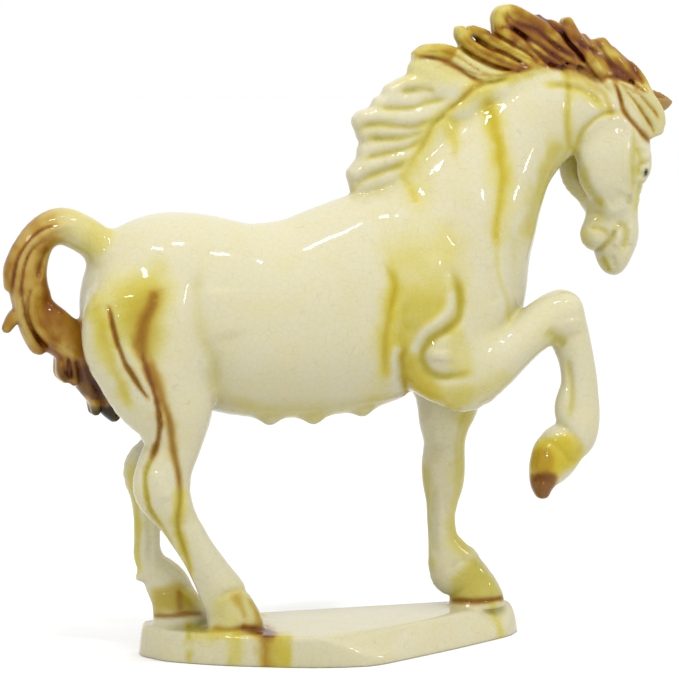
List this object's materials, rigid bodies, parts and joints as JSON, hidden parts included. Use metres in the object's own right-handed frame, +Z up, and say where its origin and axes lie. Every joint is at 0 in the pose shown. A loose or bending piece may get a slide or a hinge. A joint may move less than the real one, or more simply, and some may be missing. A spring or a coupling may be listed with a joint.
{
  "type": "glazed ceramic horse figure",
  "caption": "Glazed earthenware tomb horse with yellow and amber runs, pawing with a raised foreleg, its tail arched in a loop, cast in one with a low slab.",
  "frame": {"origin": "middle of the slab's flat underside", "axes": "+X towards the horse's chest, along the slab; +Y towards the horse's left side; +Z up"},
  "size_m": [0.3245, 0.0728, 0.288],
  "materials": {
    "glaze": "very glossy warm ivory glaze with fine crackle; straw yellow runs, and amber to dark brown glaze on the mane, tail and hooves"
  },
  "bodies": {
    "root": {"glazed_horse": "glaze"}
  },
  "joints": []
}
